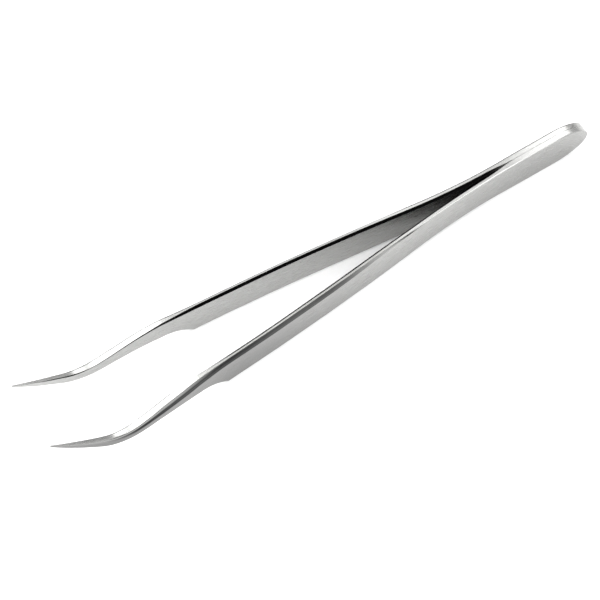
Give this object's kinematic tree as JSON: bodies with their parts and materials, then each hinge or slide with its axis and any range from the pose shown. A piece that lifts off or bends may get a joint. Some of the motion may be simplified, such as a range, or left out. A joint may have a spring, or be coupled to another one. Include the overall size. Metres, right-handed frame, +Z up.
{
  "type": "precision tweezers",
  "caption": "Slim sprung steel tweezers with a rounded heel, flat bevelled arms, a stepped lower edge and upturned needle points that close when squeezed.",
  "frame": {"origin": "on the surface that the tweezers stand on, under the middle of the bounding box", "axes": "+X from the heel towards the points, +Y to the left arm, +Z up, the way the points turn"},
  "size_m": [0.119, 0.0164, 0.0155],
  "materials": {
    "arm_steel": "satin ground faces with polished bevels",
    "weld_steel": "dull fused weld metal"
  },
  "bodies": {
    "heel": {"left_tang": "arm_steel", "right_tang": "arm_steel", "front_weld": "weld_steel", "rear_weld": "weld_steel"},
    "left_arm": {"left_blade": "arm_steel"},
    "right_arm": {"right_blade": "arm_steel"}
  },
  "joints": [
    {"name": "left_flex", "type": "hinge", "parent": "heel", "child": "left_arm", "pos_m": [-0.0275, 0.00071, 0.0045], "axis": [0, 0, -1], "range_deg": [0, 4.38], "stiffness_Nm_per_rad": 1.3},
    {"name": "right_flex", "type": "hinge", "parent": "heel", "child": "right_arm", "pos_m": [-0.0275, -0.00071, 0.0045], "axis": [0, 0, 1], "range_deg": [0, 4.38], "stiffness_Nm_per_rad": 1.3}
  ]
}
